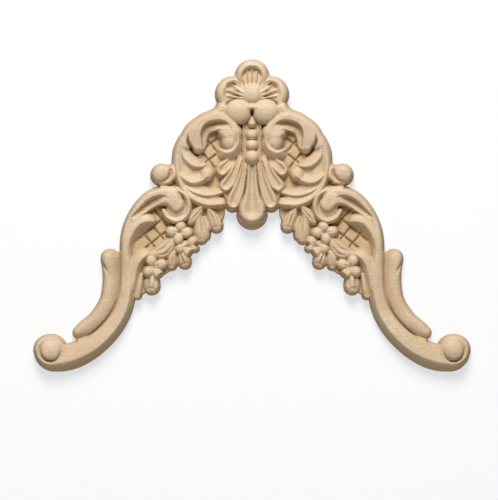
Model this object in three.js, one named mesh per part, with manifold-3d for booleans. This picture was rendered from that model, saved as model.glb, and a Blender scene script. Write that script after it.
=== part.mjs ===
// Corner onlay: a symmetrical rococo ornament carved in one piece from a flat hardwood board.
// A three-lobed shell crowns a round medallion of scrolls and leaves with a fluted fan below it.
// A wing runs down from each side: a volute, a lattice panel, hooked leaves and flowers, then a long
// S-shaped leg with a side leaf, ending in a ball scroll.
//
// The carving is drawn lying on its back, x to its side, y to its top and z out of its face.
// It is stood up at the end, with the origin at the centre of the medallion's flat back.
import * as THREE from "three";
import { mergeVertices } from "three/addons/utils/BufferGeometryUtils.js";
import Module from "manifold-3d";

// Driving sizes, in millimetres.
const WIDTH = 290; // across the two ball ends
const DEPTH = 18; // from the flat back to the highest berry
const GROUND = 6; // board left behind the carving
const EDGE = 3.5; // square edge of the outline, before its rounding starts
const LATTICE_PITCH = 7.8; // side of a lattice square
const LATTICE_CUT = 1.6; // width of a lattice line
const LATTICE_SINK = 1.4; // depth of a lattice line
const VEIN_CUT = 1.3; // width of a leaf's vein
const VEIN_SINK = 1.8; // depth of a vein below the crown beside it
const PETAL_EYE = 0.3; // a flower's eye, as a share of its radius
const PETAL_CLEFT = 0.35; // how far the clefts between petals reach in, as a share of the radius
const PETAL_SINK = 0.3; // how far the clefts sink, as a share of the petals' height

// The drawing's own units. A place is [side, up, half-width, crown]: the first three are in modules,
// 435 to the width, and the crown is in eighteenths of the depth.
const MODULE = WIDTH / 435;
const LEVEL = DEPTH / 18;
const BENCH = -2; // blanks start this far behind the back, which is then planed off in one cut

const wasm = await Module();
wasm.setup();

const degrees = THREE.MathUtils.degToRad;

// A closed geometry as a solid.
function solid(geometry) {
  const bare = new THREE.BufferGeometry();
  bare.setAttribute("position", geometry.getAttribute("position"));
  if (geometry.index) bare.setIndex(geometry.index);
  const merged = mergeVertices(bare, 1e-4);
  return new wasm.Manifold(
    new wasm.Mesh({
      numProp: 3,
      vertProperties: new Float32Array(merged.attributes.position.array),
      triVerts: new Uint32Array(merged.index.array),
    }),
  );
}

// The same geometry on the other side of the axis, with its faces turned to point outwards again.
function mirrored(geometry) {
  const copy = mergeVertices(geometry.clone().deleteAttribute("normal").deleteAttribute("uv"), 1e-4);
  copy.scale(-1, 1, 1);
  const order = Array.from(copy.index.array);
  for (let i = 0; i < order.length; i += 3) [order[i + 1], order[i + 2]] = [order[i + 2], order[i + 1]];
  return copy.setIndex(order);
}

// Section profiles: where the corners lie across the ridge, and the height there as a share of the crown.
// FULL keeps a round section from thinning to nothing at its sides.
const FULL = 0.88;
const bulge = (s) => Math.sqrt(1 - FULL * s * s);
const round = { at: [-1, -0.68, 0, 0.68, 1], height: bulge };
const broad = { at: [-1, -0.5, 0.5, 1], height: bulge };
const fine = { at: [-1, 0, 1], height: bulge };
// A flute: a rounded rim on each side of a flat hollow.
const dished = (sink) => ({
  at: [-1, -0.78, -0.45, 0.45, 0.78, 1],
  height: (s) => {
    const rim = THREE.MathUtils.clamp((Math.abs(s) - 0.45) / 0.33, 0, 1);
    return bulge(THREE.MathUtils.clamp((Math.abs(s) - 0.78) / 0.22, 0, 1)) - sink * (1 - rim);
  },
});
// A leaf whose crown lies to one side: round beyond the crown and easy on the other side.
const leaning = (lean) => ({
  at: lean > 0 ? [-1, lean, (lean + 1) / 2, 1] : [-1, (lean - 1) / 2, lean, 1],
  height: (s) => {
    const share = Math.abs(s < lean ? (s - lean) / (1 + lean) : (s - lean) / (1 - lean));
    return s < lean === lean > 0 ? 1 - FULL * share ** 1.7 : bulge(share);
  },
});

// Places along a circle or spiral: centre, radius and angle at each end, and the sizes at even steps between.
function arc([cu, cv], [fromRadius, toRadius], [from, to], widths, crowns) {
  return widths.map((width, i) => {
    const share = i / (widths.length - 1);
    const radius = fromRadius + (toRadius - fromRadius) * share;
    const angle = degrees(from + (to - from) * share);
    return [cu + radius * Math.cos(angle), cv + radius * Math.sin(angle), width, crowns[i]];
  });
}

// The drawn half of a line that crosses the axis, and its mirror image, as one line.
const across = (half) => [...half.slice(1).map(([u, ...rest]) => [-u, ...rest]).reverse(), ...half];

// Rings of points joined into one closed blank. Each ring runs the same way round.
function loft(rings) {
  const count = rings[0].length;
  const corners = rings.flat(2);
  const faces = [];
  for (let i = 0; i + 1 < rings.length; i++)
    for (let j = 0; j < count; j++) {
      const a = i * count + j;
      const b = i * count + ((j + 1) % count);
      faces.push(a, b, b + count, a, b + count, a + count);
    }
  const last = (rings.length - 1) * count;
  for (let j = 1; j + 1 < count; j++) {
    faces.push(0, j + 1, j);
    faces.push(last, last + j, last + j + 1);
  }
  return new THREE.BufferGeometry()
    .setAttribute("position", new THREE.Float32BufferAttribute(corners, 3))
    .setIndex(faces);
}

// Stations along a smooth line through the places: point, direction, half-width and crown, in millimetres.
function stations(places) {
  const line = new THREE.CatmullRomCurve3(
    places.map(([u, v]) => new THREE.Vector3(u * MODULE, v * MODULE, 0)),
    false,
    "catmullrom",
  );
  const size = new THREE.CatmullRomCurve3(
    places.map(([, , width, crown]) => new THREE.Vector3(width * MODULE, crown * LEVEL, 0)),
    false,
    "catmullrom",
  );
  const count = places.length - 1;
  return Array.from({ length: count + 1 }, (_, i) => {
    const share = i / count;
    const sizes = size.getPoint(share);
    return { at: line.getPoint(share), along: line.getTangent(share), width: sizes.x, crown: sizes.y };
  });
}

// A ridge's end: how far round its half-circle each extra section lies, in degrees.
const SQUARE = []; // hidden in other carving
const BLUNT = [60];
const ROUND = [75, 42];

// A carved ridge bent along its places, with the given ends.
function ridge(places, [start, end], profile = round) {
  const rings = [];
  const ring = (station, out) => {
    const tip = Math.sin(degrees(out));
    const narrow = Math.cos(degrees(out));
    const middle = station.at.clone().addScaledVector(station.along, tip * station.width);
    const point = (s, z) => [
      middle.x - station.along.y * s * narrow * station.width,
      middle.y + station.along.x * s * narrow * station.width,
      z,
    ];
    const crest = [...profile.at].reverse().map((s) => {
      const reach = Math.min(1, Math.hypot(tip, s * narrow)) * (Math.sign(s) || 1);
      return point(s, EDGE + (station.crown - EDGE) * profile.height(reach));
    });
    rings.push([point(1, BENCH), ...crest, point(-1, BENCH)]);
  };
  const line = stations(places);
  for (const angle of start) ring(line[0], -angle);
  for (const station of line) ring(station, 0);
  for (const angle of [...end].reverse()) ring(line.at(-1), angle);
  return loft(rings);
}

// A channel cut down from above with a V-shaped floor.
function groove(places, { cut = VEIN_CUT, sink = VEIN_SINK } = {}) {
  return loft(
    stations(places).map(({ at, along, width, crown }) => {
      const half = (cut / 2) * (width / MODULE);
      const point = (s, z) => [at.x - along.y * s * half, at.y + along.x * s * half, z];
      return [point(0, crown - sink), point(2, crown + sink), point(-2, crown + sink)];
    }),
  );
}

// A dome on an upright wall, oval in plan, swelling from the given level.
function dome(u, v, halfU, halfV, crown, { from = EDGE / LEVEL, sides = 10, power = 0.5, rings = [0.68, 1] } = {}) {
  const height = (s) => LEVEL * (from + (crown - from) * (1 - FULL * s * s) ** power);
  const profile = [0, ...rings].map((s) => new THREE.Vector2(s, height(s))).reverse();
  return new THREE.LatheGeometry([new THREE.Vector2(0, BENCH), new THREE.Vector2(1, BENCH), ...profile], sides)
    .rotateX(Math.PI / 2)
    .scale(halfU * MODULE, halfV * MODULE, 1)
    .translate(u * MODULE, v * MODULE, 0);
}

// A flat-topped area of board with the given outline.
function ground(outline, level = GROUND / LEVEL) {
  const shape = new THREE.Shape(outline.map(([u, v]) => new THREE.Vector2(u * MODULE, v * MODULE)));
  const depth = level * LEVEL - BENCH;
  return new THREE.ExtrudeGeometry(shape, { depth, bevelEnabled: false }).translate(0, 0, BENCH);
}

// A piece of carving with its mirror image on the other side of the axis.
const pair = (pieces) => [...pieces, ...pieces.map(mirrored)];

// Lines crossing at right angles around a centre, cut into the ground: so many one way, so many the other.
function lattice([cu, cv], turn, counts, reach) {
  const pitch = LATTICE_PITCH / MODULE;
  return counts.flatMap((count, family) => {
    const angle = degrees(turn + 90 * family);
    const [du, dv] = [Math.cos(angle), Math.sin(angle)];
    return Array.from({ length: count }, (_, i) => {
      const away = (i - (count - 1) / 2) * pitch;
      const end = (way) => [cu - dv * away + du * way, cv + du * away + dv * way, 1, GROUND / LEVEL];
      return groove([end(-reach), end(reach)], { cut: LATTICE_CUT, sink: LATTICE_SINK });
    });
  });
}

// Board left between the raised carving: the shell, the medallion and the wing, the last two with a lattice.
function panels() {
  const crest = across([[0, 84], [12, 80], [24, 68], [34, 56], [44, 36], [62, 18], [74, -5], [75, -28], [66, -46], [48, -56], [20, -55], [0, -62]]);
  const wing = [
    [70, -32], [86, -34], [102, -48], [118, -66], [125, -90], [125, -140], [113, -148],
    [101, -139], [94, -129], [84, -123], [74, -116], [62, -104], [50, -90], [42, -80], [33, -79], [29, -73], [29, -62], [40, -50],
  ];
  const lines = [...lattice([42.4, -2.6], -39, [2, 2], 13), ...lattice([94.9, -81.7], -39, [2, 3], 22)];
  return { solid: [ground(crest), ...pair([ground(wing)])], cuts: pair(lines) };
}

// Three lobes with rolled rims and hollow ribbed middles, spreading from a smooth boss.
function shell() {
  const top = arc([0, 72], [13.2, 12.4], [90, -34], [5.2, 5.1, 5, 4.4, 3], [12.5, 12.5, 12.5, 11.8, 10]);
  const side = [[8, 60, 2, 11.5], [15, 68.5, 2.9, 11.8], [23, 67.4, 4.6, 12], [30, 62, 5.3, 12.5], [32.3, 54, 5.3, 12.3], [29, 45, 4.6, 11.5]];
  const ribs = [[[2.6, 60], [4, 77]], [[10, 52], [24, 55.5]]];
  const rib = ([from, to]) => ridge([[...from, 1.4, 12.2], [...to, 1.6, 9]], [SQUARE, SQUARE], fine);
  return [
    dome(0, 58, 20, 19, 9, { rings: [1] }),
    ridge(across(top), [SQUARE, SQUARE]),
    ...pair([ridge(side, [SQUARE, SQUARE]), ...ribs.map(rib)]),
    dome(0, 56, 10.5, 8.6, 14.6, { from: 8, power: 0.7 }),
  ];
}

// Two round berries side by side under the shell, with a short web between them.
const berries = () => [
  ...pair([dome(14.3, 38.6, 13.8, 12.3, 18, { from: 9, power: 0.45, sides: 10, rings: [0.5, 0.84, 1] })]),
  ridge(across([[0, 43.5, 4, 15.5], [9, 42, 5, 16]]), [SQUARE, SQUARE]),
];

// A string of beads down the axis, lying on a narrow strip.
const beads = () => [
  ridge([[0, 31, 2, 13], [0, 25.5, 5.2, 15]], [SQUARE, ROUND]),
  dome(0, 14.5, 5.6, 5.2, 15, { from: 10, sides: 8 }),
  dome(0, 4.2, 5.6, 5.2, 15, { from: 10, sides: 8 }),
  dome(0, -8, 6.8, 6.8, 17, { from: 10, sides: 8 }),
  ground([[-9, 30], [-9, -14], [9, -14], [9, 30]], 9.5),
];

// The rim of the medallion from the shell's neck round to the fan, and the web between it and its leaves.
function rim() {
  const web = [[66, 4, 6, 9], [67, -14, 9, 10], [64, -29, 11, 10.3], [54, -42, 10, 10.3], [38, -48, 7, 10.3]];
  const neck = [[29, 46, 5, 10.8], [38, 38.5, 6.4, 12], [49, 31.5, 8, 13.3], [58, 23, 8, 13.4], [64, 14, 6, 12.6], [66, 6, 3, 11]];
  const outer = [
    [40, 34, 4, 11], [54, 27.4, 4.8, 12], [65, 16, 5.8, 12.1], [73, -2, 6.5, 12.4], [74.6, -20, 5.8, 12.5],
    [70, -37, 5, 12.2], [60, -48.6, 5.6, 12.3], [45, -55.2, 6.4, 12.6], [29.5, -54, 4.6, 12],
  ];
  return pair([
    ridge(web, [SQUARE, SQUARE], broad),
    ridge(neck, [SQUARE, BLUNT], broad),
    ridge(outer, [SQUARE, ROUND]),
  ]);
}

// Three leaves curling in from the rim, each with its crown along its lower edge.
function curls() {
  const upper = [[72, 0, 5, 11.5], [66, -7.5, 6.6, 12.5], [58.5, -13, 6, 12.2], [52, -14.5, 4.2, 11.2], [47, -13.8, 2, 9]];
  const middle = [[75, -19, 5, 11.5], [68, -26, 6.8, 12.6], [60, -30, 7.4, 13], [52, -30, 7.4, 13.3], [45.4, -26.6, 7.4, 13.8]];
  const lower = [[69, -34, 4, 10.8], [60, -39.6, 5, 11.6], [49, -43.4, 5.4, 11.9], [39, -43.6, 5.4, 11.8], [31, -42, 4.4, 11]];
  return pair([
    ridge(upper, [SQUARE, BLUNT], leaning(0.3)),
    ridge(middle, [SQUARE, ROUND], leaning(0.2)),
    ridge(lower, [SQUARE, BLUNT], leaning(0.45)),
  ]);
}

// The medallion's volute: a band rolling over its top and round a ball, with a gutter inside it.
function eye() {
  const band = [
    [52.5, 3, 4.8, 12.5], [56.3, 10, 5.9, 14], [56, 19, 6.3, 14.5], [51, 27.5, 6.3, 14.5], [42, 32.6, 6.2, 14.6],
    [31, 32.6, 5.6, 15.2], [21.5, 27.6, 5, 15.8], [15.4, 19, 4.4, 16],
  ];
  const roll = [[15.4, 19, 4.4, 16], [12.8, 9.5, 3.6, 16], [14, 0, 4.4, 15.5], [20, -6.4, 6, 15], [27.5, -6.8, 5.6, 13.8], [33, -2.2, 3.6, 12]];
  const gutter = [[45.6, 4, 3, 8], [45.6, 12, 4, 9.4], [41.5, 19, 4.4, 10.4], [34, 21.6, 4.8, 12], [27.5, 18, 5.4, 14.5]];
  return pair([
    ridge(band, [ROUND, SQUARE]),
    ridge(roll, [SQUARE, BLUNT], leaning(0.3)),
    ridge(gutter, [BLUNT, SQUARE], broad),
    dome(23.3, 9.6, 8, 10.2, 16.4, { from: 9, sides: 8 }),
  ]);
}

// The fan: seven hollow flutes spreading from under the beads, the middle one longest and widest.
function fan() {
  const board = across([[0, -2], [18, -4], [30, -20], [31, -38], [24, -56], [0, -60]]);
  const middle = [[0, -12, 4.6, 12.6], [0, -30, 5.8, 13], [0, -44, 7.4, 13.2], [0, -54, 10.4, 13.6], [0, -64.4, 15.8, 14]];
  const inner = [[6, -6, 2.4, 11.6], [8, -16, 3.4, 12.4], [10, -29.5, 4.4, 12.7], [13.4, -40.5, 6, 12.7], [17, -49, 7, 12.5], [19.8, -55.8, 6.8, 12]];
  const outer = [[11.5, -4, 2, 11], [15, -14, 3, 11.8], [18.5, -26, 4.4, 12.3], [23, -33, 5.8, 12.3], [28, -38.4, 5.9, 12.3]];
  const bud = [[20, -6, 3.4, 10.8], [24, -13, 5.6, 11.6], [28, -18, 6.7, 12], [30.8, -21.8, 6.3, 12]];
  return [
    ground(board, 8.5),
    ridge(middle, [SQUARE, ROUND], dished(0.2)),
    ...pair([
      ridge(inner, [SQUARE, ROUND], dished(0.25)),
      ridge(outer, [SQUARE, ROUND], dished(0.28)),
      ridge(bud, [SQUARE, BLUNT], dished(0.3)),
    ]),
  ];
}

// A small snail of a scroll on the shoulder, where the wing meets the medallion.
function shoulder() {
  const coil = [[75, -12, 3, 9.5], [75.8, -21.5, 4.6, 10.6], [79.4, -30.6, 4.7, 11.5], [87, -34, 4.5, 11.5], [94.6, -32, 4, 11], [98.4, -26, 2.8, 9.5]];
  return pair([ridge(coil, [SQUARE, BLUNT]), dome(89.5, -22.9, 9.9, 9.7, 13.5, { from: 6 })]);
}

// The long band of the wing and leg: round its upper volute, down the outside, and out to the ball scroll.
function stem() {
  const volute = [[82.5, -65.6, 3.4, 12], [73, -68.2, 4.5, 13.5], [65.6, -61.6, 5, 14], [65.6, -49.6, 5.2, 14], [75, -42, 5.4, 14]];
  const wing = [
    [75, -42, 5.4, 14], [88.5, -42.2, 5.2, 13.6], [101, -47, 5.2, 13], [112, -55.5, 5.1, 12.7],
    [120.4, -68, 5.2, 12.5], [125.2, -83.5, 5.7, 12.3], [125.8, -100, 6.4, 12],
  ];
  const leg = [
    [125.8, -100, 6.4, 12], [123.4, -120, 7.6, 12], [123.6, -140, 8.4, 12], [128.6, -160.5, 9, 12], [139.4, -178.4, 10, 12],
    [155, -194, 10.8, 12], [172, -203.6, 12.4, 12], [187, -208.6, 12.4, 11.5], [200, -212.4, 8.4, 10.6],
  ];
  const cup = [[200, -212.4, 8.4, 10.6], [209.4, -209.6, 5.8, 10.2], [213.4, -199, 4.3, 10], [209, -189.6, 4.1, 9.8], [201, -186.8, 3.4, 9]];
  const gutter = [[113, -62.6, 2.4, 8.6], [104, -61, 2.6, 9.6], [95.5, -57.4, 3, 10.8], [88, -54.6, 4.6, 12.4], [82, -52.6, 6.4, 13.6]];
  return pair([
    ridge(volute, [BLUNT, SQUARE], leaning(0.25)),
    ridge(wing, [BLUNT, SQUARE]),
    ridge(leg, [BLUNT, SQUARE]),
    ridge(cup, [BLUNT, ROUND]),
    ridge(gutter, [SQUARE, BLUNT], broad),
    dome(76.4, -53, 9.2, 10.4, 14.8, { from: 8, sides: 8 }),
    dome(199.6, -199, 13, 13, 15.6, { sides: 10, rings: [0.5, 0.84, 1] }),
  ]);
}

// Two hooked leaves springing inwards from the wing's band, each crowned along its upper edge.
function hooks() {
  const upper = [[123.5, -100, 6, 11.4], [120.5, -88, 8.2, 12], [115, -79, 9.2, 12.5], [107.5, -72.6, 8.4, 12.5], [101, -69.8, 5.4, 11.4], [97.4, -71, 3, 10]];
  const lower = [[122, -136, 5, 10.5], [120.5, -123, 7.6, 11.6], [116, -112.5, 8.4, 12.2], [109.5, -106, 7, 12], [104, -103.8, 4.6, 11], [101, -105, 2.4, 9.4]];
  return pair([upper, lower].map((places) => ridge(places, [SQUARE, BLUNT], leaning(-0.38))));
}

// The long side leaf that lies against the outside of the leg.
const sideLeaf = () =>
  pair([
    ridge([
      [142.2, -108.6, 7.4, 9.6], [140.6, -121, 8.5, 10.3], [139.8, -136, 9.2, 10.5], [143.6, -153, 10.2, 10.5], [154, -170, 11, 10.2],
      [166.5, -178.6, 8.8, 9.6], [172.3, -182, 7.2, 8.8],
    ], [ROUND, ROUND]),
  ]);

// Leaves along the wing's inner edge: a lobe for each line of places.
const LOBES = [
  [[98, -103.5, 3.6, 10], [92, -103, 7, 11.6], [85, -99.2, 8.2, 12], [80.2, -93, 6.2, 11.6], [79, -87, 3, 10.4]],
  [[76, -102, 3.4, 10.4], [77.6, -109, 6, 11], [78.4, -116, 6.6, 10.6]],
  [[68, -104, 3.6, 10.4], [67, -110, 6, 11], [67.4, -115, 6.6, 10.6]],
  [[100, -127, 3.2, 10.6], [99.6, -134, 6.4, 11], [101, -140.6, 7, 10.6]],
  [[111, -127, 2.8, 9.4], [112.4, -137, 4.4, 9.8], [113.4, -146, 4.8, 9.2]],
  [[47.5, -67, 4, 10], [49, -75, 7, 11], [50, -83.5, 8.4, 11.2], [49.4, -88.5, 7.4, 10.4]],
  [[51, -57.5, 4, 10.8], [53.6, -63.8, 5.8, 11.6], [57.8, -69.6, 5.8, 11.4], [61, -73, 4.2, 10.2]],
  [[44.8, -61, 3.4, 10.2], [41, -70, 4.8, 11], [38.4, -77, 4.6, 10.2]],
  [[34.5, -62, 5, 10.8], [33, -71, 6.4, 11.2], [34.4, -76.8, 6.4, 10.6]],
];
const VEINS = [
  [[94.5, -101.5, 0.8, 11.6], [87.5, -98.8, 1, 11.8], [82, -91.5, 0.7, 11.2]],
  [[67.4, -105.5, 0.6, 10.8], [66.5, -113, 1, 10.6]],
  [[99.4, -129, 0.6, 10.8], [99.4, -139, 1, 10.6]],
  [[52, -60, 0.8, 11.4], [58.2, -69.8, 1, 11.4]],
  [[48, -70, 0.7, 10.6], [52, -83, 1.1, 10.8]],
];
const leaves = () => pair(LOBES.map((places) => ridge(places, [SQUARE, BLUNT], broad)));

// Flowers between the leaves: each has a centre, a number of petals, a turn, a radius and the height of its crown.
const FLOWERS = [
  { centre: [72.2, -82.8], petals: 4, turn: 6, radius: 12.6, crown: 13.4 },
  { centre: [65.5, -96.8], petals: 5, turn: -20, radius: 11.8, crown: 12.2 },
  { centre: [97, -117.4], petals: 4, turn: 60, radius: 12.4, crown: 12.8 },
];
// One closed blank, pulled in and sunk at the clefts between its petals and hollow at its eye.
function flower({ centre: [cu, cv], petals, turn, radius, crown }) {
  const ring = (reach, height) =>
    Array.from({ length: 3 * petals }, (_, i) => {
      const share = Math.floor(i / 3) + [0, 0.3, 0.7][i % 3] + 0.5;
      const angle = degrees(turn + (360 * share) / petals);
      const cleft = i % 3 === 0 ? reach : 0;
      const away = reach * radius * MODULE * (1 - PETAL_CLEFT * cleft);
      const z = height === null ? BENCH : EDGE + (crown * LEVEL - EDGE) * height * (1 - PETAL_SINK * cleft);
      return [cu * MODULE + away * Math.cos(angle), cv * MODULE + away * Math.sin(angle), z];
    });
  return loft([ring(1, null), ring(1, 0.5), ring(0.65, 1), ring(PETAL_EYE, 0.76)]);
}
const flowers = () => pair(FLOWERS.map(flower));

// The leaves' veins, cut last.
const veins = () => pair(VEINS.map((places) => groove(places)));

// The whole carving, joined, cut and planed flat at the back.
const join = (geometries) => wasm.Manifold.union(geometries.map(solid));
const board = panels();
const bench = new THREE.BoxGeometry(2 * WIDTH, 2 * WIDTH, 2 * DEPTH).translate(0, 0, -DEPTH);
const carving = join(board.solid)
  .subtract(join(board.cuts))
  .add(
    join([
      ...shell(), ...rim(), ...curls(), ...eye(), ...fan(), ...beads(), ...berries(), ...shoulder(),
      ...sideLeaf(), ...stem(), ...hooks(), ...leaves(), ...flowers(),
    ]),
  )
  .subtract(join(veins()))
  .subtract(solid(bench));

function geometryOf(manifold) {
  const mesh = manifold.getMesh();
  return new THREE.BufferGeometry()
    .setAttribute("position", new THREE.BufferAttribute(mesh.vertProperties, 3))
    .setIndex(new THREE.BufferAttribute(mesh.triVerts, 1));
}

// Stood up against its wall: the face looks towards -Y and the flat back lies in the plane Y = 0.
const upright = geometryOf(carving).rotateX(Math.PI / 2);
upright.computeVertexNormals();

const beech = new THREE.MeshStandardMaterial({ color: 0xdcb68a, roughness: 0.6, metalness: 0 });
const onlay = new THREE.Mesh(upright, beech);
onlay.name = "corner_onlay";

const part = new THREE.Group();
part.add(onlay);
export default part;
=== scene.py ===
import math

import bmesh
import bpy
import numpy as np
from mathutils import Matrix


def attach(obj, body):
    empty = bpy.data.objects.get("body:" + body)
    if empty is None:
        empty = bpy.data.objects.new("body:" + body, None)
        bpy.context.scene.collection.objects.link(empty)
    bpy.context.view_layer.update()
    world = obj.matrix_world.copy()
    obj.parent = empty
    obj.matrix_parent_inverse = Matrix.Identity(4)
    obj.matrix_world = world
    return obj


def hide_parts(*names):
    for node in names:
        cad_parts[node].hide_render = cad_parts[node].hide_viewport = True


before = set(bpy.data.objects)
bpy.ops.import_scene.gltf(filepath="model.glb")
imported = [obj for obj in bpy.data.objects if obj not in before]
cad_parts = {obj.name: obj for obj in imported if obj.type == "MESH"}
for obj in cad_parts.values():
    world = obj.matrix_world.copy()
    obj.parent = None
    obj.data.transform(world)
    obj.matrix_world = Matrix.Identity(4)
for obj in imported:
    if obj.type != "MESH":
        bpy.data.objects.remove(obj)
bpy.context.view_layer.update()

# The board
# One flat piece of beech, 18 mm thick, that the whole onlay is carved from. The carver's template is one
# half of the drawing, so the relief is worked as a height over that half and turned over at the end.
WIDTH = 0.290  # metres, across the two ball ends
DEPTH = 0.018  # from the flat back to the highest berry
MODULE = WIDTH / 435  # the drawing's unit along and across
LEVEL = DEPTH / 18  # its unit of height
FINENESS = 0.54  # modules between two points of the grid
across_grid, up_grid = np.meshgrid(np.arange(0, 222, FINENESS), np.arange(-225, 93, FINENESS))
height = np.zeros(across_grid.shape)
inside = np.full(across_grid.shape, -9.0)  # how far inside the outline, in modules

# The panels
# Plain board left 6 mm thick behind the carving, sawn to the outline. The medallion and the wing each
# have a lattice cut into theirs with a V tool.
GROUND = 6
LATTICE_PITCH = 11.7
LATTICE_CUT = 1.4
LATTICE_SINK = 2.4


# The rows and columns of the grid from one place to another.
def window(lowest, highest):
    first_column, last_column = np.searchsorted(across_grid[0], (lowest[0], highest[0]))
    first_row, last_row = np.searchsorted(up_grid[:, 0], (lowest[1], highest[1]))
    return slice(first_row, last_row + 1), slice(first_column, last_column + 1)


def panel(outline, level=GROUND):
    corners = np.array(outline, float)
    area = window(corners.min(0) - 3, corners.max(0) + 3)
    u, v = across_grid[area], up_grid[area]
    enclosed = np.zeros(u.shape, bool)
    distance = np.full(u.shape, 99.0)
    for start, end in zip(corners, np.roll(corners, -1, 0)):
        step = end - start
        share = np.clip(((u - start[0]) * step[0] + (v - start[1]) * step[1]) / (step @ step), 0, 1)
        off = np.hypot(u - start[0] - share * step[0], v - start[1] - share * step[1])
        distance = np.minimum(distance, off)
        if start[1] != end[1]:
            crossing = start[0] + (v - start[1]) * step[0] / step[1]
            enclosed ^= ((start[1] > v) != (end[1] > v)) & (u < crossing)
    height[area] = np.where(enclosed, np.maximum(height[area], level), height[area])
    inside[area] = np.maximum(inside[area], np.where(enclosed, distance, -distance))


def smooth_line(places, steps=8):
    given = np.array(places, float)
    extended = np.vstack([2 * given[0] - given[1], given, 2 * given[-1] - given[-2]])
    share = np.linspace(0, 1, steps, endpoint=False)[:, None]
    spans = []
    for before, start, end, after in zip(extended, extended[1:], extended[2:], extended[3:]):
        bend = 2 * before - 5 * start + 4 * end - after
        twist = 3 * start - before - 3 * end + after
        spans.append(start + 0.5 * share * (end - before + share * (bend + share * twist)))
    return np.vstack([*spans, given[-1:]])


# Round a line of places [side, up, half-width, level]: how far off each grid point lies and how far to
# the left, both as shares of the half-width there, then that half-width and the line's level.
def near(places):
    line = smooth_line(places)
    reach = 1.4 * line[:, 2].max() + 2
    area = window(line[:, :2].min(0) - reach, line[:, :2].max(0) + reach)
    u, v = across_grid[area], up_grid[area]
    away = np.full(u.shape, 99.0)
    left, half, level = np.zeros((3, *u.shape))
    for start, end in zip(line, line[1:]):
        step = end[:2] - start[:2]
        length = np.hypot(*step)
        share = np.clip(((u - start[0]) * step[0] + (v - start[1]) * step[1]) / length**2, 0, 1)
        off_u = u - start[0] - share * step[0]
        off_v = v - start[1] - share * step[1]
        half_here = start[2] + share * (end[2] - start[2])
        away_here = np.hypot(off_u, off_v) / half_here
        nearer = away_here < away
        away = np.where(nearer, away_here, away)
        left = np.where(nearer, (step[0] * off_v - step[1] * off_u) / (length * half_here), left)
        half = np.where(nearer, half_here, half)
        level = np.where(nearer, start[3] + share * (end[3] - start[3]), level)
    return area, away, left, half, level


def groove(places, power=1.0):
    area, away, _, _, sink = near(places)
    height[area] -= sink * np.clip(1 - away, 0, 1) ** power


def lattice(centre, turn, counts, reach):
    for family, count in enumerate(counts):
        angle = math.radians(turn + 90 * family)
        along = np.array([math.cos(angle), math.sin(angle)])
        sideways = np.array([-along[1], along[0]])
        for number in range(count):
            middle = np.array(centre) + sideways * LATTICE_PITCH * (number - (count - 1) / 2)
            ends = [middle - along * reach, middle + along * reach]
            groove([[*end, LATTICE_CUT, LATTICE_SINK] for end in ends], power=0.6)


panel([
    [-3, 84], [12, 80], [24, 68], [33, 57], [34, 48], [40, 38], [60, 18], [74, -5], [75, -28], [66, -46],
    [48, -56], [20, -55], [-3, -62],
])
panel([
    [70, -32], [86, -34], [102, -48], [118, -66], [125, -90], [125, -140], [113, -148], [101, -139],
    [94, -129], [84, -123], [74, -116], [62, -104], [50, -90], [42, -80], [33, -79], [30, -73],
    [27.4, -66], [26.6, -56], [40, -50],
])
lattice([42.4, -2.6], -39, [2, 2], 16)
lattice([94.9, -81.7], -39, [2, 3], 22)

# The shell
# Three lobes crown the piece. Each is a hollow with a rolled rim and thin ribs run out with a veiner,
# and they spread from one smooth boss.
EDGE = 3.5  # the square edge that is left where the carving meets the outline
FULL = 0.88  # a section keeps some height at its sides


def bulge(share):
    return np.sqrt(1 - FULL * share**2)


# A section with its crest to one side. The short side is round, or falls as far and as straight as it is
# given; so does the long side.
def crested(at, long_side=(0.88, 1.7), short_side=None):
    def section(left):
        share = np.abs(left - at) / np.where(left < at, 1 + at, 1 - at)
        rounded = bulge(share) if short_side is None else 1 - short_side[0] * share ** short_side[1]
        return np.where((left < at) == (at > 0), 1 - long_side[0] * share ** long_side[1], rounded)
    return section


def smooth_max(first, second, blend):
    share = np.clip(0.5 + 0.5 * (first - second) / blend, 0, 1)
    return second + (first - second) * share + blend * share * (1 - share)


def carve(area, rise, depth_inside, blend):
    height[area] = smooth_max(height[area], rise, blend)
    inside[area] = np.maximum(inside[area], depth_inside)


# A raised band along its places. Its section is bulge or another shape; a spoon's goes round its ends.
def ridge(places, section=bulge, spoon=False, blend=0.7, skirt=2.5):
    area, away, left, half, crown = near(places)
    if spoon:
        shape = section(np.clip(away, 0, 1) * np.where(left < 0, -1, 1))
    else:
        beyond = np.sqrt(np.clip(away**2 - left**2, 0, 1))
        narrow = np.sqrt(1.001 - beyond**2)
        shape = section(np.clip(left / narrow, -1, 1)) * bulge(beyond)
    rise = EDGE + (crown - EDGE) * shape - skirt * half * np.maximum(away - 1, 0)
    carve(area, rise, half * (1 - away), blend)


def dome(u, v, half_u, half_v, crown, start=EDGE, power=0.5, turn=0, blend=0.7, skirt=2.5):
    reach = 1.3 * max(half_u, half_v) + 2
    area = window((u - reach, v - reach), (u + reach, v + reach))
    off_u, off_v = across_grid[area] - u, up_grid[area] - v
    cosine, sine = math.cos(math.radians(turn)), math.sin(math.radians(turn))
    away = np.hypot((off_u * cosine + off_v * sine) / half_u, (off_v * cosine - off_u * sine) / half_v)
    rise = start + (crown - start) * (1 - FULL * np.clip(away, 0, 1) ** 2) ** power
    least = min(half_u, half_v)
    carve(area, rise - skirt * least * np.maximum(away - 1, 0), least * (1 - away), blend)


# Places along a circle: centre, radius, and the angle at each end, with the sizes at even steps between.
def arc(centre, radius, angles, halves, crowns):
    turns = np.radians(np.linspace(*angles, len(halves)))
    return [
        [centre[0] + radius * math.cos(turn), centre[1] + radius * math.sin(turn), half, crown]
        for turn, half, crown in zip(turns, halves, crowns)
    ]


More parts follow.
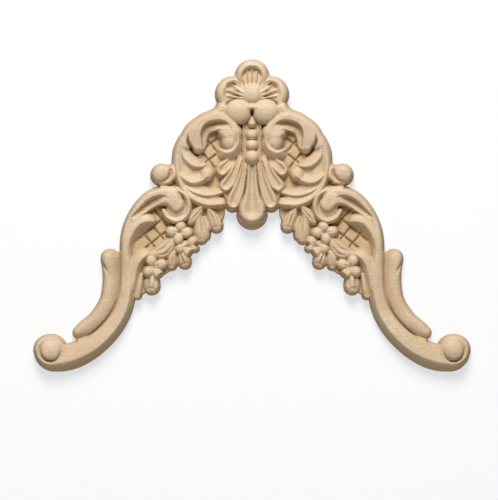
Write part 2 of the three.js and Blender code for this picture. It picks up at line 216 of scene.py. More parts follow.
dome(0, 60, 24, 21, 10, start=7)
dome(20, 57, 15, 13, 11, start=9)
ridge(arc((0, 72), 12.8, (100, -34), (5.4, 5.4, 5.2, 5, 4.4, 3), (12.6, 12.6, 12.5, 12.5, 11.8, 10)),
      crested(-0.1, (0.55, 1.3)), blend=1)
ridge([
    [9, 56, 2.4, 13], [13, 62, 3, 12.8], [18, 68, 4, 12.4], [24, 67, 5.6, 12.2], [29.4, 61.4, 6, 12.8],
    [31.4, 54, 5.8, 12.6], [29, 46, 4.6, 11.8],
], crested(-0.15, (0.4, 1.2)), blend=1.8)
groove([[22.6, 63, 4.4, 2.4], [17, 64.6, 4, 3.6], [11.6, 60, 2.6, 2.4]], power=0.9)
for start, end, low in (
    ((0, 60), (0, 79), 11), ((2.8, 60), (5, 77), 11), ((5.4, 59.5), (10, 72), 11),
    ((9, 56), (20, 64), 10.6), ((9.6, 53.4), (24, 59), 12), ((10, 50.4), (24.6, 53), 12),
):
    ridge([[*start, 1.6, 13.4], [*end, 1.3, low]], blend=0.5, skirt=1)
for start, end in (((10, 54.6), (24, 62)), ((10.4, 51.8), (25, 56))):
    groove([[*start, 0.8, 1.6], [*end, 1.2, 1.2]], power=0.8)
dome(0, 55.4, 12.6, 10, 14.4, start=9.6, power=0.6, blend=2.2)

# The berries
# Two round berries sit side by side under the shell and stand highest of all. A short web joins them
# over a small drilled hole.
dome(13.6, 37.2, 13, 12.3, 17.4, start=9.4, power=0.42, skirt=4)
groove(arc((13.6, 37.2), 13.6, (75, -75), (1, 1.5, 1.6, 1.6, 1.2), (0.4, 1.5, 1.8, 1.8, 0.8)))
ridge([[-2, 41.6, 4.8, 14.8], [4.4, 41.6, 5, 15.6]], blend=2.5)
groove([[0, 38.4, 2, 3], [0, 35.4, 2.2, 5]], power=0.5)

# The beads
# A string of round beads runs down the axis on a narrow strip, with a fine line cut at each side.
panel([[-1, 30], [-1, -14], [9, -14], [9, 30]], 9.5)
ridge([[0, 31, 2, 13], [0, 25.5, 5.2, 15]])
dome(0, 14.5, 5.6, 5.2, 15, start=10)
dome(0, 4.2, 5.6, 5.2, 15, start=10)
dome(0, -8, 6.8, 6.8, 17, start=10)
ridge([[8.4, 29, 1.3, 11.4], [8.6, 8, 1.3, 11.6], [8.8, -12, 1.2, 11.4]], blend=0.3)

# The medallion's rim
# A broad band runs from the shell's neck round to the fan, hollow behind its inner edge where the
# leaves spring from it.
ridge([[66, 4, 6, 9], [67, -14, 9, 10], [64, -29, 11, 10.3], [54, -42, 10, 10.3], [38, -48, 7, 10.3]])


def flat_topped(share):
    return np.sqrt(1 - FULL * share**6)


ridge([
    [28, 43, 4.4, 12], [35.6, 38.4, 4.2, 13.2], [46, 32, 5, 14.2], [54, 26.2, 6.4, 14.4],
    [60, 19.4, 7.6, 14.2], [65, 10.6, 7.6, 13.8], [66, 4, 6, 13.4],
], flat_topped, blend=2.4)
dome(31, 38, 8, 6.4, 12.8, start=11.6, blend=2.4)
ridge([
    [56, 25, 4, 13.6], [65.4, 14, 5.6, 13.6], [70, 6, 6.2, 13.4], [72.8, -4, 7, 13],
    [73.6, -20, 6.2, 12.8], [69, -36.6, 5.6, 12.8], [59, -47.6, 6.4, 12.8], [45, -53.6, 7, 12.8],
    [31, -53.4, 5.8, 12.2],
], crested(0.2, (0.5, 1.4), (0.75, 1.4)), blend=1.6)

# The curls
# Three leaves curl in from the rim. Each is crowned along its lower edge, so it throws a deep shade on
# the next.
UNDERCUT = crested(0.3, (0.6, 1.5), (0.8, 1.15))
panel([[60, -15], [46, -15], [42, -22], [52, -27], [61, -24]], 9)
ridge([
    [65, 14, 3, 12.6], [67, 5, 5, 13], [67.4, -3, 7, 13], [64, -9.4, 7.8, 13.2], [58.4, -14, 6.8, 12.8],
    [52.6, -16, 5, 12], [48, -15.8, 3, 10.4],
], UNDERCUT, blend=2.4)
ridge([
    [69, -34, 4, 10.8], [60, -40, 5.4, 12], [49, -44, 5.8, 12.2], [39, -44.2, 5.4, 11.8],
    [31, -42, 4.4, 11],
], UNDERCUT, blend=0.5)
ridge([
    [75, -19, 5, 11.5], [68, -26.6, 7.2, 12.8], [60, -31, 8, 13.2], [52, -29.8, 7.6, 13.2],
    [46.6, -26.4, 6.4, 12.8],
], UNDERCUT, blend=0.5, skirt=4)
dome(44.6, -24.6, 6.2, 6.2, 13.2, start=9, blend=3, skirt=4)

# The eye
# The medallion's volute: a broad band rolls over its top into a ball, and a cove is run along it with a
# gouge, steep on its outer side.
COVE_FLOOR = 8.2  # a cove is never cut below this level
COVE_DEEPEST = -0.3  # where across its width a cove is deepest


def cove(places, rise=2.4):
    area, away, left, _, sink = near(places)
    on_outer = left < COVE_DEEPEST
    side = np.where(on_outer, -1 - COVE_DEEPEST, 1 - COVE_DEEPEST)
    share = np.clip((left - COVE_DEEPEST) / side, 0, 1)
    outer = sink * (1 - share**2) ** 0.6
    inner = sink - np.minimum(sink, rise) * share**1.6
    cut = np.where(away < 1, np.where(on_outer, outer, inner), 0)
    before = height[area]
    height[area] = np.where(before > COVE_FLOOR, np.maximum(before - cut, COVE_FLOOR), before)


ridge([
    [53.8, 2.6, 7.2, 12.4], [54, 10, 8.4, 13.8], [52.8, 18, 10, 14.8], [47.8, 25, 10.8, 15],
    [38.6, 28.6, 10.8, 15], [29, 26.8, 9.4, 15.2], [21.6, 22.4, 8, 15.4], [18.4, 16, 7.4, 15.4],
], flat_topped, blend=1.2)
cove([
    [46.8, 4, 3, 3], [47.2, 14.4, 3.8, 5], [43.8, 21.4, 4.4, 5.4], [36.4, 24.2, 4.6, 5.4],
    [29.4, 24.4, 4, 4], [23.6, 22, 2.6, 0.4],
])
ridge([
    [47.4, 3, 2, 8.8], [46.4, 10, 2.2, 9.2], [44, 16.2, 2.4, 9.6], [39.8, 20, 2.6, 10.2],
    [34.6, 20.8, 3.2, 11.6], [29.6, 18.4, 4, 13.6], [25, 15, 5, 15],
], flat_topped, spoon=True, blend=1.6)
dome(27, 16, 5.4, 5.4, 15, start=11, blend=2)
dome(16, 16, 5, 7, 15.4, start=12, blend=2)
dome(22.2, 9.4, 8.2, 10.8, 15.6, start=6, power=0.3, blend=2.4)
ridge([
    [17, 25, 3.4, 15], [13.4, 18, 4, 15.4], [12, 10, 4, 15.2], [12.6, 3.4, 5.2, 15],
    [16, -2.8, 6.8, 14.8], [21.8, -6.2, 7.6, 14.4], [28.4, -5.6, 6.6, 13.2], [32.6, -1.6, 3.4, 10],
], crested(0.42, (0.85, 1.3), (0.5, 2)), blend=1)
groove([
    [63.2, 15, 0.6, 0.6], [63.6, 8, 1.8, 4.5], [62, 3, 2.6, 5.5], [59.4, -1.2, 3.2, 4.6],
    [56.4, -5.6, 2.4, 1.2],
])

# The fan
# Seven hollow flutes spread from under the beads. Each is scooped with a gouge and ends like a spoon
# with a thin rim; the middle one is longest and widest.
FLUTE_BODY = 10.6  # the highest level of the plain body that a flute stands on
FLUTE_RIM = 0.66  # where across a flute its thin rim begins


def dished(sink, rim):
    def section(left):
        share = np.abs(left)
        outer = bulge(np.clip((share - rim) / (1 - rim), 0, 1))
        return outer - sink * (0.5 + 0.5 * np.cos(np.clip(share / rim, 0, 1) * math.pi))
    return section


panel([[-3, -12], [16, -14], [30, -24], [31, -38], [24, -56], [-3, -60]], 8.6)
FLUTES = [
    (0.3, [
        [18.6, -7, 3, 8], [22, -12.6, 5, 10.6], [25, -16, 6.4, 12], [28, -18.8, 7.2, 12.4],
        [30.4, -21.8, 7, 12.2],
    ]),
    (0.26, [
        [10.8, -5, 2.6, 9], [13, -11.6, 3.4, 11], [15.4, -17, 4.2, 12], [18.6, -25, 5.6, 12.4],
        [23, -32.6, 7.2, 12.4], [27.4, -37.8, 7.2, 12.4],
    ]),
    (0.24, [
        [5.8, -8, 2.4, 10], [7, -14, 3.2, 12], [8, -18, 3.7, 12.6], [10.4, -29.5, 5, 12.8],
        [13.8, -40.5, 6.8, 12.8], [17, -48.6, 8, 12.8], [19.4, -55.2, 7.8, 12.4],
    ]),
    (0.27, [
        [0, -12, 4.6, 12.8], [0, -30, 6, 13.2], [0, -44, 8, 13.6], [0, -53, 11.4, 13.8],
        [0, -64.4, 15.8, 14],
    ]),
]
for sink, flute in FLUTES:
    body = [[u, v, half, min(FLUTE_BODY, crown - 1)] for u, v, half, crown in flute]
    ridge(body, spoon=True, blend=0.4, skirt=1.4)
    before, last = np.array(flute[-2:])
    tip = last - (last - before) * 0.35
    tip[2] = 0.92 * last[2]
    upper = [[u, v, 0.97 * half, crown] for u, v, half, crown in flute[:-1]]
    ridge([*upper, tip], dished(sink, FLUTE_RIM), spoon=True, blend=0.8, skirt=1.4)

# The shoulder scroll
# A small snail of a scroll fills the corner where the wing meets the medallion. It is turned round a
# ball with a gouge, and a crescent is cut under the ball.
panel([[72, -12], [80, -15], [88, -22], [80, -32], [72, -26]], 9)
ridge([[80.4, -17, 3, 11.6], [77.4, -24, 3.8, 12], [81, -31, 3.6, 11.8], [86.6, -33.6, 2, 10.8]])
dome(89.6, -25.4, 12, 11.6, 12.2, start=6, power=0.4, blend=1.2)
dome(90.8, -23.4, 8.6, 8.6, 14.2, start=11, blend=1)
groove([[94, -32, 1, 0.4], [87.4, -31, 1.4, 1.8], [82.2, -26.4, 1.6, 2.2], [81.4, -20, 1.2, 0.8]])

# The side leaf
# A long smooth leaf lies against the outside of the leg, lower than it. It is rounded over with a flat
# gouge, and its head is turned back with a shallow crease.
panel([
    [141, -104], [127, -100], [124, -140], [140, -172], [158, -192], [168, -198], [175.4, -190],
    [170, -182], [150, -160],
], 4.4)
ridge([
    [141.4, -108.4, 9.8, 10.2], [140.6, -119.5, 8.8, 9.8], [140.2, -136, 9.2, 10],
    [143.4, -153, 9.8, 10.4], [153.4, -169.6, 10.4, 10.4], [166, -178.8, 9, 10],
    [172.4, -182.6, 6.8, 9.6],
], crested(0.25, (0.8, 2), (0.66, 2.4)))
groove([
    [150.6, -112.6, 2.4, 0.8], [147.6, -116.4, 2.8, 1.7], [144.4, -121, 2.4, 1.1],
    [142.6, -126, 1.6, 0.2],
], power=1.4)

# The stem
# One band makes the wing and the leg. It rolls round its upper volute, runs down the outside with a
# cove inside it, and swings out to a ball held in a cup.
ridge([
    [119, -68, 6.4, 12.2], [108.8, -56.4, 8.6, 12.8], [97.6, -48.6, 9, 13.4], [86.4, -46.8, 9.4, 14],
    [78, -50, 9.4, 14.4],
], flat_topped, blend=1.2)
ridge([
    [75, -42, 5.4, 14], [88.5, -41.6, 5.8, 13.6], [101.2, -46.2, 6, 13], [112, -55.3, 5.4, 12.7],
    [120.4, -68, 5.2, 12.5], [125.2, -83.5, 5.7, 12.3], [125.8, -100, 6.4, 12], [124.8, -112, 6, 11.2],
    [124.4, -122, 4.6, 9.8],
], blend=1.5)
dome(75.4, -58, 9.4, 9, 11.6, start=10, blend=2)
ridge([[79, -49.6, 8.6, 14.4], [75, -54.6, 8.6, 14.4]], flat_topped, spoon=True, blend=2)
ridge([
    [86, -61.4, 4.6, 12.2], [82.2, -66.4, 5.4, 13], [74.6, -69, 5.8, 13.6], [67, -65, 5.8, 14],
    [64.2, -56.4, 5, 14], [67, -47.4, 5, 14], [75, -42, 5.4, 14],
], crested(0.36, (0.86, 1.3), (0.6, 2)), blend=0.6)
cove([
    [117.4, -67, 2, 1.4], [107.6, -58.8, 3.4, 4], [100, -53, 4, 4.4], [93, -49.6, 3.6, 3.4],
    [87.4, -48.2, 2.4, 1.4], [83, -48.8, 1.4, 0.2],
], rise=1.6)
ridge([
    [125.8, -92, 4.4, 11], [125.6, -102, 6, 11.8], [123.4, -120, 7.6, 12], [123.6, -140, 8.4, 12],
    [128.6, -160.5, 9, 12], [139.4, -178.4, 10, 12], [155, -193.8, 11, 12], [172, -203, 13, 12],
    [187, -208, 13, 11.5], [200, -212.4, 8.4, 10.6],
], crested(-0.3, (0.34, 1.5), (0.88, 1.2)), blend=1.5)
ridge([
    [187, -208, 13, 11.5], [200, -211.4, 9.6, 11.8], [208.6, -208.2, 6.8, 11.8],
    [212.4, -201, 5.2, 11.8], [211, -194.6, 4.6, 11.6],
], crested(-0.2, (0.4, 1.5), (0.85, 1.3)), blend=0.6)
dome(201.2, -199.3, 17, 15.6, 12.4, start=6, power=0.36, blend=1.2)
dome(200.2, -199.6, 9.6, 9.6, 15.2, start=11.6, power=0.5, blend=1)
groove(arc((200.2, -199.6), 10.6, (70, -150), (1.2, 1.8, 2, 2.2, 2, 1.2), (0.3, 1.3, 1.9, 2, 1.5, 0.3)))
# The crease that parts the side leaf from the leg.
groove([
    [131.4, -103, 1.4, 1.4], [131, -120, 1.6, 2.2], [132, -140, 1.6, 2.4], [137, -157, 1.7, 2.6],
    [147.4, -172, 1.7, 2.6], [161.8, -185, 1.6, 2.4], [171, -190, 1.3, 1],
])

# The hooked leaves
# Two leaves spring inwards from the wing's band and hook over the lattice. Each is crowned along its
# upper edge and falls away below it.
HOOKED = crested(0.12, (0.45, 2.4), (0.95, 1.15))
ridge([
    [125, -102, 5, 11], [122, -89, 7.4, 12.2], [117, -79, 9, 12.8], [110.8, -72.6, 9.4, 13],
    [104, -71, 7.4, 12.6], [99.4, -71.4, 4.2, 11.4],
], HOOKED, blend=2)
ridge([
    [119, -138, 5, 10.4], [116.8, -125, 6.6, 11.2], [114, -114.4, 7.8, 12.2], [109.4, -108, 7.8, 12.8],
    [104.6, -105, 6, 12.4], [100.8, -104.6, 3.4, 11],
], HOOKED, blend=2)

# The small leaves
# Leaves hang along the wing's inner edge. They are set in with a gouge and parted by deep nicks, and
# most have a vein cut with a V tool.
LOBES = [
    [
        [99, -104, 3.6, 10], [92.4, -103.4, 7.4, 11.4], [86, -99.6, 9, 12], [80.6, -93, 6.8, 11.6],
        [79, -87, 3, 10.4],
    ],
    [[77, -102, 2.4, 10.8], [79, -107, 5.2, 11.6], [79.6, -112.6, 5.8, 11.4], [79.8, -116, 5.2, 10.2]],
    [[71, -102, 3, 10.8], [68.4, -107.6, 6.6, 11.6], [67.4, -111.6, 7.4, 11.2], [67, -113, 7, 10.2]],
    [[99, -125, 3.6, 10.8], [99.6, -131, 7.6, 11.4], [99.6, -136, 8.4, 11], [99.8, -137.6, 8, 10]],
    [[110, -125, 2.4, 9.6], [112, -136, 3.6, 10.2], [114, -146, 4.4, 9.2]],
    [[52, -66, 3.4, 10.4], [52, -75, 5.8, 11.4], [51.4, -83.5, 7, 11.2], [50.4, -89, 6.4, 10]],
    [[47, -68, 2, 10.2], [45, -76, 3.6, 10.8], [45, -82, 4.4, 10.4], [45.6, -87, 4.4, 9.6]],
    [[50.4, -57.6, 3, 11], [54, -63, 5.6, 11.8], [58.6, -69, 6, 11.4], [61.4, -72, 4.4, 10.2]],
    [[43, -60, 3, 10.8], [39.6, -66.6, 6, 11.8], [36.4, -74, 7.6, 11.4], [35.4, -77, 7, 10.4]],
]
VEINS = [
    [[95.5, -101.5, 1, 1], [88, -98.4, 1.8, 1.8], [81, -90.5, 0.8, 1]],
    [[92, -105.4, 0.8, 0.8], [85.6, -103.4, 1.3, 1.2], [80, -97, 0.7, 0.6]],
    [[77.6, -104, 0.7, 1.2], [79, -111, 1.1, 1.8], [79.6, -117, 0.6, 0.8]],
    [[70.8, -105, 0.7, 1.4], [68.6, -111, 1.3, 2.2], [67.6, -117, 0.6, 1]],
    [[102, -127, 0.8, 1.8], [102.8, -134, 1.3, 2.2], [103.4, -141, 0.6, 1]],
    [[96.6, -127, 0.7, 1.2], [96.4, -133, 1, 1.6], [97, -138, 0.5, 0.6]],
    [[51, -69, 0.7, 1.4], [50, -78, 1.2, 2], [49.6, -86, 0.6, 0.8]],
    [[51.2, -59.4, 0.7, 1.4], [55.6, -65.4, 1.2, 2], [60.4, -71, 0.6, 0.8]],
    [[42, -61.6, 0.7, 1.6], [38.8, -69, 1.2, 2.4], [37, -77.6, 0.6, 1]],
    [[36, -64, 0.6, 1], [33.4, -71, 1, 1.4], [32.4, -77, 0.5, 0.6]],
]
for lobe in LOBES:
    ridge(lobe, blend=1, skirt=3)
for vein in VEINS:
    groove(vein, power=0.7)

# The flowers
# Three small flowers of fat round petals stand over the leaves. Each petal is rounded and creased by
# itself, and the eye is pricked in the middle.
PETAL_SIZE = (5.4, 4.8)  # half its length and half its width
FLOWERS = [
    [(72.2, -82.8), 13.4, [(71, -76.6), (65.2, -83), (73.5, -89.2), (79.4, -81.8)]],
    [(64.6, -96.4), 12.6, [(59.6, -92), (71.2, -98.6), (63.8, -102), (57.4, -98.8)]],
    [(97.2, -116.6), 13, [(100.3, -110.8), (90.2, -114.4), (102.6, -121.4), (93.4, -123.4)]],
]
for centre, crown, petals in FLOWERS:
    dome(*centre, 6.4, 6.4, crown - 1.4, start=8, blend=0.5)
    for petal in petals:
        out = np.subtract(petal, centre)
        turn = math.degrees(math.atan2(out[1], out[0]))
        dome(*petal, *PETAL_SIZE, crown, start=crown - 4, power=0.36, turn=turn, blend=0.3, skirt=3)
        groove([[*(centre + out * 0.2), 1, 0.9], [*(centre + out * 0.9), 1, 0.3]])
    groove([[*centre, 1.5, 1.8], [centre[0] + 0.1, centre[1], 1.5, 1.8]])

# The carved piece
# The relief is turned over to its right half, cut out along its outline and given its flat sawn back.
# Sanding has softened it, and no hand-held tool leaves a surface quite true.
MOST_TRIANGLES = 190000
ROUNDED = 6.5  # modules, how far in from the outline the edge is rounded off
ROUND_RISE = 11.5  # levels, how far the rounded edge climbs over that
DIAGONAL = 1.42  # grid steps to a corner neighbour
HOLLOW_REACH = 5  # grid steps over which a hollow is told from the wood round it
SANDING = 0.6  # grid steps that sanding softens
WAVER = 0.09  # levels, how untrue the hand leaves a surface
WAVER_REACH = 9  # grid steps
SHARP = math.radians(62)  # an edge sharper than this is shaded as an edge


def soften(field, radius):
    span = np.arange(-math.ceil(3 * radius), math.ceil(3 * radius) + 1)
    weights = np.exp(-0.5 * (span / radius) ** 2)
    weights /= weights.sum()
    for axis in (0, 1):
        margins = [(len(span) // 2,) * 2 if axis == way else (0, 0) for way in (0, 1)]
        padded = np.pad(field, margins, mode="edge")
        field = sum(
            weight * np.take(padded, range(shift, shift + field.shape[axis]), axis)
            for shift, weight in enumerate(weights)
        )
    return field


height, inside = (np.hstack([half[:, :0:-1], half]) for half in (height, inside))
height = np.maximum(height, EDGE)
in_from_edge = np.where(inside > 0, 99.0, 0.0)
for _ in range(math.ceil(ROUNDED / FINENESS) + 1):
    for way in ((0, 1), (0, -1), (1, 0), (-1, 0), (1, 1), (-1, -1), (1, -1), (-1, 1)):
        length = FINENESS * (DIAGONAL if all(way) else 1)
        in_from_edge = np.minimum(in_from_edge, np.roll(in_from_edge, way, (0, 1)) + length)
rounded_off = EDGE + ROUND_RISE * (1 - (1 - np.clip(in_from_edge / ROUNDED, 0, 1)) ** 1.5)
rounded_off = np.where(in_from_edge < ROUNDED, rounded_off, 99)
height = -smooth_max(-height, -rounded_off, 0.8)
hollows = soften(height, HOLLOW_REACH) - height
waver = soften(np.random.default_rng(11).normal(size=height.shape), WAVER_REACH)
height = soften(height, SANDING) + WAVER * waver / waver.std()

rows, columns = height.shape
middle = columns // 2
grid = np.dstack([
    (np.arange(columns)[None, :] - middle) * FINENESS * MODULE * np.ones((rows, 1)),
    -height * LEVEL,
    up_grid[:, :1] * MODULE * np.ones((1, columns)),
])


# Points where the outline crosses the grid's lines, from each grid point to the next along a row or up.
# The mesh's points are the grid's in the wood, then the crossings along the rows, then those up.
def crossings(ahead):
    here, there = inside[: rows - ahead[0], : columns - ahead[1]], inside[ahead[0]:, ahead[1]:]
    from_here = grid[: rows - ahead[0], : columns - ahead[1]]
    to_there = grid[ahead[0]:, ahead[1]:]
    found = (here > 0) != (there > 0)
    share = (here / np.where(found, here - there, 1))[..., None]
    points = from_here + (to_there - from_here) * share
    return found, points[found]


is_solid = inside > 0
flat, flat_points = crossings((0, 1))
steep, steep_points = crossings((1, 0))
points = np.vstack([grid[is_solid], flat_points, steep_points])
number = np.full((3, rows, columns), -1)
number[0][is_solid] = np.arange(is_solid.sum())
number[1][:, :-1][flat] = is_solid.sum() + np.arange(flat.sum())
number[2][:-1][steep] = is_solid.sum() + flat.sum() + np.arange(steep.sum())
corners = [number[0][:-1, :-1], number[0][:-1, 1:], number[0][1:, 1:], number[0][1:, :-1]]
sides = [number[1][:-1, :-1], number[2][:-1, 1:], number[1][1:, :-1], number[2][:-1, :-1]]
shape_of_cell = sum((corner >= 0) * 2**place for place, corner in enumerate(corners))
triangles, rim = [], []
# Each of the 15 ways that the outline can pass through a cell, with the wood's corners joined in a ring.
for shape in range(1, 16):
    cells = shape_of_cell == shape
    ring, kinds = [], []
    for place in range(4):
        here, ahead = shape >> place & 1, shape >> (place + 1) % 4 & 1
        if here:
            ring.append(corners[place][cells])
            kinds.append("corner")
        if here != ahead:
            ring.append(sides[place][cells])
            kinds.append("leaving" if here else "entering")
    for place in range(1, len(ring) - 1):
        triangles.append(np.column_stack([ring[0], ring[place], ring[place + 1]]))
    for place, kind in enumerate(kinds):
        if kind == "leaving":
            rim.append(np.column_stack([ring[place], ring[(place + 1) % len(ring)]]))
triangles = np.vstack(triangles)
rim = np.vstack(rim)
# The rim is taken straight back to the wall, and the back is closed over it.
behind = np.full(len(points), -1)
edge_points = np.unique(rim)
behind[edge_points] = len(points) + np.arange(len(edge_points))
back_points = points[edge_points] * (1, 0, 1)
wall = np.vstack([
    np.column_stack([rim[:, 1], rim[:, 0], behind[rim[:, 0]]]),
    np.column_stack([rim[:, 1], behind[rim[:, 0]], behind[rim[:, 1]]]),
])
carved = bpy.data.meshes.new("carved_onlay")
carved.from_pydata(np.vstack([points, back_points]).tolist(), [], np.vstack([triangles, wall]).tolist())
shaped = bmesh.new()
shaped.from_mesh(carved)
back_rim = [edge for edge in shaped.edges if edge.is_boundary]
bmesh.ops.triangle_fill(shaped, edges=back_rim, use_beauty=False)
bmesh.ops.recalc_face_normals(shaped, faces=shaped.faces)
shaped.to_mesh(carved)
shaped.free()
carved_onlay = bpy.data.objects.new("carved_onlay", carved)
bpy.context.scene.collection.objects.link(carved_onlay)
thinned = carved_onlay.modifiers.new("thinned", "DECIMATE")
thinned.ratio = min(1, MOST_TRIANGLES / len(carved.polygons))
bpy.context.view_layer.update()
evaluated = carved_onlay.evaluated_get(bpy.context.evaluated_depsgraph_get())
carved_onlay.data = bpy.data.meshes.new_from_object(evaluated)
carved_onlay.modifiers.clear()
carved = carved_onlay.data
carved.name = "carved_onlay"
carved.shade_smooth()
carved.set_sharp_from_angle(angle=SHARP)

# How deep each point of the finished surface lies in a hollow, for the shade painted into the hollows and
# the highlight painted onto the crests.
where = np.empty(3 * len(carved.vertices))
carved.vertices.foreach_get("co", where)
where = where.reshape(-1, 3)
nearest_column = np.clip(np.rint(where[:, 0] / (FINENESS * MODULE)) + middle, 0, columns - 1).astype(int)
nearest_row = np.clip(np.rint((where[:, 2] / MODULE - up_grid[0, 0]) / FINENESS), 0, rows - 1).astype(int)
depth_in_hollow = np.where(where[:, 1] < -1e-4, hollows[nearest_row, nearest_column], 0)
hollow_values = carved.attributes.new("hollow", "FLOAT", "POINT").data
hollow_values.foreach_set("value", depth_in_hollow.astype(np.float32))

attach(carved_onlay, "root")
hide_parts("corner_onlay")

# The wood
# Bare steamed beech, sanded and unfinished: pale tan with long soft streaks, fine level grain and short
# dark flecks along it. Shade is painted in as darker wood down in the creases and low near the wall, and
# a highlight is painted in as paler wood on the crests.


class Shade:
    """One output of a material's nodes, for sums such as 1 - mask."""

    def __init__(self, finish, socket):
        self.finish = finish
        self.socket = socket

    def _sum(self, operation, first, second):
        return self.finish.node("Math", {"operation": operation}, {0: first, 1: second})

    def __add__(self, other):
        return self._sum("ADD", self, other)

    def __radd__(self, other):
        return self._sum("ADD", other, self)

    def __sub__(self, other):
        return self._sum("SUBTRACT", self, other)

    def __rsub__(self, other):
        return self._sum("SUBTRACT", other, self)

    def __mul__(self, other):
        return self._sum("MULTIPLY", self, other)

    def __rmul__(self, other):
        return self._sum("MULTIPLY", other, self)


class Finish:
    """A material or a world under way. Each node is added by its type, settings and sockets."""

    def __init__(self, made):
        self.made = made
        made.use_nodes = True
        self.tree = made.node_tree
        self.tree.nodes.clear()

    def node(self, kind, settings=None, sockets=None, out=0):
        added = self.tree.nodes.new("ShaderNode" + kind)
        for name, setting in (settings or {}).items():
            setattr(added, name, setting)
        for name, given in (sockets or {}).items():
            if isinstance(given, Shade):
                self.tree.links.new(given.socket, added.inputs[name])
            else:
                added.inputs[name].default_value = given
        return Shade(self, added.outputs[out]) if added.outputs else None

    def noise(self, place, scale, detail):
        return self.node("TexNoise", {}, {"Vector": place, "Scale": scale, "Detail": detail})

    def step(self, value, low, high, least=0.0, most=1.0):
        limits = {"From Min": low, "From Max": high, "To Min": least, "To Max": most}
        return self.node("MapRange", {"interpolation_type": "SMOOTHSTEP"}, {"Value": value, **limits})

    def mix(self, share, first, second):
        return self.node("Mix", {"data_type": "RGBA"}, {0: share, 6: first, 7: second}, out=2)

    def stretched(self, place, scales, turn):
        return self.node("Mapping", {}, {"Vector": place, "Rotation": (0, turn, 0), "Scale": scales})


GRAIN_TILT = math.radians(4)
TAN, PALE_TAN = (0.63, 0.475, 0.318, 1), (0.71, 0.565, 0.41, 1)
WARM_PATCH = (0.65, 0.455, 0.30, 1)
GRAIN_LINE = (0.46, 0.31, 0.18, 1)
MOTTLED = (0.50, 0.34, 0.20, 1)
FLECK = (0.30, 0.18, 0.09, 1)
# The next three colours are painted light: shade in the creases, a highlight on the crests, shade low
# near the wall.
CREASE_SHADE_PAINT = (0.22, 0.12, 0.03, 1)
CREST_HIGHLIGHT_PAINT = (0.78, 0.62, 0.45, 1)
LOW_SHADE_PAINT = (0.45, 0.285, 0.13, 1)
LOW_FROM, LOW_TO = 0.0055, 0.0135  # metres off the wall, between which the wood pales
wood = Finish(bpy.data.materials.new("bare_beech"))
place = wood.node("TexCoord", out="Object")
streaks = wood.noise(wood.stretched(place, (9, 30, 60), GRAIN_TILT), 1.0, 3.0)
patches = wood.noise(wood.stretched(place, (14, 14, 26), GRAIN_TILT), 1.0, 2.0)
grain = wood.noise(wood.stretched(place, (60, 500, 1500), GRAIN_TILT), 1.0, 4.0)
flecks = wood.noise(wood.stretched(place, (520, 1500, 3600), GRAIN_TILT), 1.0, 1.0)
fleck_mask = wood.step(flecks, 0.6, 0.7)
mottle = wood.noise(place, 620.0, 3.0)
hollow = wood.node("Attribute", {"attribute_name": "hollow"}, out="Fac")
# Painted shade: darker wood down in the creases, where shade falls. The creases are also left rougher.
crease = wood.step(hollow, 0.3, 3.4)
# Painted highlight: paler wood on the crests that stand above the wood round them.
crest_highlight = wood.step(0 - hollow, 0.3, 2.4)
tone = wood.mix(wood.step(streaks, 0.35, 0.68), TAN, PALE_TAN)
tone = wood.mix(wood.step(patches, 0.42, 0.7) * 0.5, tone, WARM_PATCH)
tone = wood.mix(wood.step(grain, 0.46, 0.72) * 0.42, tone, GRAIN_LINE)
tone = wood.mix(wood.step(mottle, 0.42, 0.68) * 0.24, tone, MOTTLED)
tone = wood.mix(fleck_mask * 0.5, tone, FLECK)
tone = wood.mix(crease * 0.9, tone, CREASE_SHADE_PAINT)
tone = wood.mix(crest_highlight * 0.1, tone, CREST_HIGHLIGHT_PAINT)
off_wall = 0 - wood.node("SeparateXYZ", {}, {"Vector": place}, out="Y")
off_back = wood.step(off_wall, 0.0001, 0.0004)
# Painted shade: darker wood low in the relief near the wall, fading out as the surface rises.
low = wood.step(off_wall, LOW_FROM, LOW_TO, 1.0, 0.0) * off_back
tone = wood.mix(low * 0.5, tone, LOW_SHADE_PAINT)
roughness = 0.55 + grain * 0.15 + crease * 0.12
relief = grain * 0.6 - fleck_mask * 0.5
bump = wood.node("Bump", {}, {"Strength": 0.25, "Distance": 0.0002, "Height": relief})
wooden = wood.node("BsdfPrincipled", {}, {
    "Base Color": tone, "Roughness": roughness, "Normal": bump, "Specular IOR Level": 0.3,
})
wood.node("OutputMaterial", {}, {"Surface": wooden})
carved.materials.clear()
carved.materials.append(wood.made)

# The wall and the floor
# The onlay is held to a plain white wall, over a pale floor. Both are matt, and glow straight to the
# camera as white does in a bright photo. From behind, the wall is clear, so that the sawn back shows.


def white_sheet(name, corners, finish, colour, glow, brightness, clear_behind=False):
    matt = finish.node("BsdfDiffuse", {}, {"Color": colour})
    light = finish.node("Emission", {}, {"Color": glow, "Strength": brightness})
    lit = finish.node("AddShader", {}, {0: matt, 1: light})
    direct = finish.node("LightPath", out="Is Camera Ray")
    surface = finish.node("MixShader", {}, {0: direct, 1: matt, 2: lit})
    if clear_behind:
        behind = finish.node("NewGeometry", out="Backfacing")
        surface = finish.node("MixShader", {}, {0: behind, 1: surface, 2: finish.node("BsdfTransparent")})
    finish.node("OutputMaterial", {}, {"Surface": surface})
    mesh = bpy.data.meshes.new(name)
    mesh.from_pydata(corners, [], [range(4)])
    mesh.materials.append(finish.made)
    sheet = bpy.data.objects.new(name, mesh)
    sheet.visible_shadow = False
    bpy.context.scene.collection.objects.link(sheet)


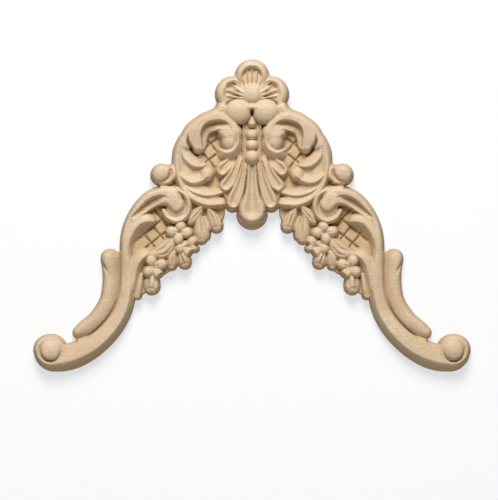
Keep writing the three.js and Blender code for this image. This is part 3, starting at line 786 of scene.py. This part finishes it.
WALL_SIDE = 1.5  # metres from the middle
WALL_TOP = 1.6
WALL_GAP = 0.0004  # between the wall and the onlay's back
WALL_COLOUR, WALL_GLOW = (0.36, 0.34, 0.31, 1), (0.938, 0.972, 1.03, 1)
FLOOR_LEVEL = -0.7
FLOOR_SIDE, FLOOR_FRONT = 3, 4
FLOOR_COLOUR, FLOOR_GLOW = (0.6, 0.6, 0.59, 1), (1, 1, 1, 1)
white_sheet("wall", [
    (-WALL_SIDE, WALL_GAP, FLOOR_LEVEL), (WALL_SIDE, WALL_GAP, FLOOR_LEVEL),
    (WALL_SIDE, WALL_GAP, WALL_TOP), (-WALL_SIDE, WALL_GAP, WALL_TOP),
], Finish(bpy.data.materials.new("white_wall")), WALL_COLOUR, WALL_GLOW, 0.635, clear_behind=True)
white_sheet("floor", [
    (-FLOOR_SIDE, -FLOOR_FRONT, FLOOR_LEVEL), (FLOOR_SIDE, -FLOOR_FRONT, FLOOR_LEVEL),
    (FLOOR_SIDE, FLOOR_FRONT, FLOOR_LEVEL), (-FLOOR_SIDE, FLOOR_FRONT, FLOOR_LEVEL),
], Finish(bpy.data.materials.new("pale_floor")), FLOOR_COLOUR, FLOOR_GLOW, 0.5)

# The light
# A large soft lamp stands above and in front, with a faint fill level with the piece and a third lamp
# behind for the sawn back. The room is pale, and brighter where the camera looks straight at it.
LIT_PLACE = (0, 0, -0.05)  # what the lamps are aimed at
ROOM_COLOUR = (1, 0.97, 0.93, 1)
ROOM_LIGHT, ROOM_SEEN = 0.1, 0.9  # how bright it is for the onlay, and for the camera


def lamp(name, stand, size, power, colour=(1, 1, 1)):
    data = bpy.data.lights.new(name, "AREA")
    data.size = size
    data.energy = power
    data.color = colour
    light = bpy.data.objects.new(name, data)
    light.location = stand
    away = np.subtract(LIT_PLACE, stand)
    level_reach = math.hypot(away[0], away[1])
    light.rotation_euler = (math.atan2(level_reach, -away[2]), 0, math.atan2(-away[0], away[1]))
    bpy.context.scene.collection.objects.link(light)


lamp("key", (-0.05, -1.22, 1.2), 0.8, 41, (0.98, 0.995, 0.985))
lamp("fill", (0, -1.9, 0.1), 1.6, 0.3, (0.97, 0.98, 1))
lamp("rear", (0.2, 1.7, 0.6), 1.2, 9)
room = Finish(bpy.data.worlds.new("pale_room"))
direct = room.node("LightPath", out="Is Camera Ray")
brightness = room.node("MapRange", {}, {"Value": direct, "To Min": ROOM_LIGHT, "To Max": ROOM_SEEN})
air = room.node("Background", {}, {"Color": ROOM_COLOUR, "Strength": brightness})
room.node("OutputWorld", {}, {"Surface": air})
bpy.context.scene.world = room.made
bpy.context.scene.view_settings.view_transform = "Standard"

# The camera
# It looks straight at the wall, with the medallion above the middle of the frame. At the wall its frame
# is 500 modules high.
SENSOR = 36  # millimetres
FOCAL_LENGTH = 172.8  # millimetres
CAMERA_PLACE = (-0.002, -1.6, -0.0667)
lens = bpy.data.cameras.new("camera")
lens.sensor_width = SENSOR
lens.lens = FOCAL_LENGTH
camera = bpy.data.objects.new("camera", lens)
camera.location = CAMERA_PLACE
camera.rotation_euler = (math.pi / 2, 0, 0)
bpy.context.scene.collection.objects.link(camera)
bpy.context.scene.camera = camera
